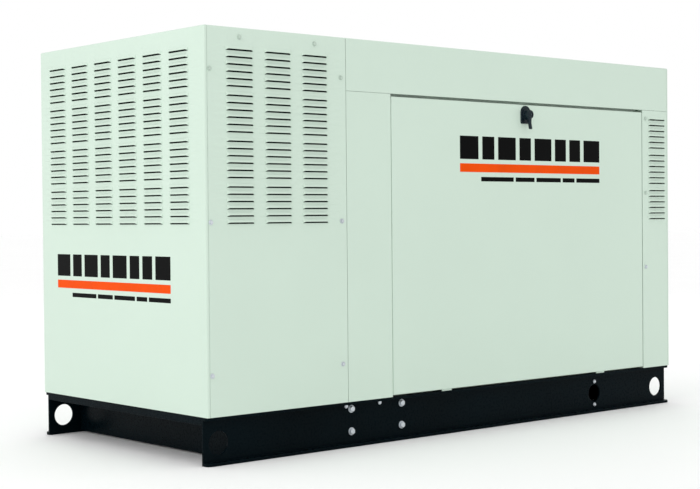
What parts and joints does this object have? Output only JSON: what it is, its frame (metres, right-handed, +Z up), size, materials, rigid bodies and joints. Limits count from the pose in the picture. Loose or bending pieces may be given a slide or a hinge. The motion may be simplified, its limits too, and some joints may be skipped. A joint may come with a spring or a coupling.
{
  "type": "home standby generator",
  "caption": "Standby generator: louvred sheet-metal enclosure with tilt-off side doors on a channel base, around a liquid-cooled engine and generator.",
  "frame": {"origin": "on the ground under the centre of the enclosure", "axes": "+X along the length towards the generator end, -Y towards the front door, +Z up"},
  "size_m": [1.963, 0.897, 1.15],
  "materials": {
    "enclosure_paint": "satin",
    "base_paint": "satin",
    "zinc_fasteners": "satin",
    "rubber": "matte",
    "acoustic_foam": "matte",
    "latch_black": "satin",
    "cast_iron": "matte",
    "cast_aluminium": "satin",
    "black_plastic": "matte",
    "bright_steel": "satin",
    "aluminised_steel": "satin",
    "filter_paint": "satin",
    "generator_paint": "satin",
    "yellow_plastic": "gloss",
    "red_plastic": "gloss"
  },
  "bodies": {
    "generator_set": {"left_end_panel": "enclosure_paint", "right_end_panel": "enclosure_paint", "side_panels": "enclosure_paint", "door_frames": "enclosure_paint", "roof_main": "enclosure_paint", "roof_left": "enclosure_paint", "radiator_bulkhead": "enclosure_paint", "side_rails": "base_paint", "base_crossmembers": "base_paint", "floor_pan": "base_paint", "mount_feet": "base_paint", "battery_tray": "base_paint", "base_bolts": "zinc_fasteners", "panel_screws": "zinc_fasteners", "engine_mounts": "rubber", "radiator_hoses": "rubber", "drive_belt": "rubber", "door_seals": "rubber", "gas_hose": "rubber", "engine_block": "cast_iron", "exhaust_manifold": "cast_iron", "cylinder_head": "cast_aluminium", "timing_cover": "cast_aluminium", "intake_manifold": "cast_aluminium", "oil_pan": "cast_aluminium", "starter_motor": "cast_aluminium", "charging_alternator": "cast_aluminium", "radiator": "cast_aluminium", "stator_end_bracket": "cast_aluminium", "fuel_regulator": "cast_aluminium", "valve_cover": "black_plastic", "air_cleaner": "black_plastic", "ignition_coils": "black_plastic", "fan_shroud": "black_plastic", "control_box": "black_plastic", "breaker_box": "black_plastic", "battery": "black_plastic", "muffler": "aluminised_steel", "oil_filter": "filter_paint", "stator_frame": "generator_paint"},
    "front_door": {"door_front": "enclosure_paint", "door_foam_front": "acoustic_foam", "latch_bezel_front": "latch_black"},
    "rear_door": {"door_rear": "enclosure_paint", "door_foam_rear": "acoustic_foam", "latch_bezel_rear": "latch_black"},
    "front_latch": {"latch_handle_front": "latch_black"},
    "rear_latch": {"latch_handle_rear": "latch_black"},
    "crank": {"crankshaft_rotor": "bright_steel"},
    "fan": {"cooling_fan": "black_plastic"},
    "charger": {"charger_pulley": "bright_steel"},
    "tensioner": {"tensioner_arm": "bright_steel"},
    "idler": {"tensioner_idler": "bright_steel"},
    "throttle": {"throttle_lever": "bright_steel"},
    "selector": {"mode_switch": "black_plastic"},
    "stop": {"stop_button": "red_plastic"},
    "breaker_lever": {"breaker_toggle": "black_plastic"},
    "filler_cap": {"oil_filler_cap": "black_plastic"},
    "coolant_cap": {"radiator_cap": "bright_steel"},
    "dip_rod": {"dipstick": "yellow_plastic"}
  },
  "joints": [
    {"name": "front_door_tilt", "type": "hinge", "parent": "generator_set", "child": "front_door", "pos_m": [0.2565, -0.42, 0.128], "axis": [1, 0, 0], "range_deg": [0, 25]},
    {"name": "rear_door_tilt", "type": "hinge", "parent": "generator_set", "child": "rear_door", "pos_m": [0.2565, 0.42, 0.128], "axis": [-1, 0, 0], "range_deg": [0, 25]},
    {"name": "front_latch_turn", "type": "hinge", "parent": "front_door", "child": "front_latch", "pos_m": [0.2495, -0.4225, 0.963], "axis": [0, -1, 0], "range_deg": [0, 90]},
    {"name": "rear_latch_turn", "type": "hinge", "parent": "rear_door", "child": "rear_latch", "pos_m": [0.2495, 0.4225, 0.963], "axis": [0, -1, 0], "range_deg": [0, 90]},
    {"name": "crank_spin", "type": "hinge", "parent": "generator_set", "child": "crank", "pos_m": [0, 0, 0.4], "axis": [1, 0, 0], "continuous": true},
    {"name": "fan_spin", "type": "hinge", "parent": "generator_set", "child": "fan", "pos_m": [-0.2, 0, 0.56], "axis": [1, 0, 0], "continuous": true},
    {"name": "charger_spin", "type": "hinge", "parent": "generator_set", "child": "charger", "pos_m": [-0.2, -0.2, 0.49], "axis": [1, 0, 0], "continuous": true},
    {"name": "tensioner_swing", "type": "hinge", "parent": "generator_set", "child": "tensioner", "pos_m": [-0.1818, -0.085, 0.352], "axis": [1, 0, 0], "range_deg": [0, 12], "stiffness_Nm_per_rad": 10, "springref_deg": -20.05},
    {"name": "idler_spin", "type": "hinge", "parent": "tensioner", "child": "idler", "pos_m": [-0.2, -0.15004, 0.37494], "axis": [1, 0, 0], "continuous": true},
    {"name": "throttle_turn", "type": "hinge", "parent": "generator_set", "child": "throttle", "pos_m": [0.235, -0.23, 0.605], "axis": [0, 1, 0], "range_deg": [0, 75], "stiffness_Nm_per_rad": 0.05, "springref_deg": -28.65},
    {"name": "mode_turn", "type": "hinge", "parent": "generator_set", "child": "selector", "pos_m": [0.62, -0.37, 0.69], "axis": [0, -1, 0], "range_deg": [-60, 60]},
    {"name": "stop_press", "type": "slide", "parent": "generator_set", "child": "stop", "axis": [0, 1, 0], "range_m": [0, 0.005], "stiffness_N_per_m": 300, "springref_m": -0.003},
    {"name": "breaker_throw", "type": "hinge", "parent": "generator_set", "child": "breaker_lever", "pos_m": [0.505, -0.136, 0.695], "axis": [1, 0, 0], "range_deg": [0, 44]},
    {"name": "filler_cap_turn", "type": "hinge", "parent": "generator_set", "child": "filler_cap", "pos_m": [0.205, -0.042, 0.73], "axis": [0, 0, 1], "range_deg": [0, 90]},
    {"name": "coolant_cap_turn", "type": "hinge", "parent": "generator_set", "child": "coolant_cap", "pos_m": [-0.44, -0.16, 0.905], "axis": [0, 0, 1], "range_deg": [0, 90]},
    {"name": "dipstick_pull", "type": "slide", "parent": "generator_set", "child": "dip_rod", "axis": [0, 0, 1], "range_m": [0, 0.17]}
  ],
  "couplings": [
    {"joint": "fan_spin", "follows": "crank_spin", "ratio": 1.25},
    {"joint": "charger_spin", "follows": "crank_spin", "ratio": 2.3438},
    {"joint": "idler_spin", "follows": "crank_spin", "ratio": -2.6786}
  ]
}
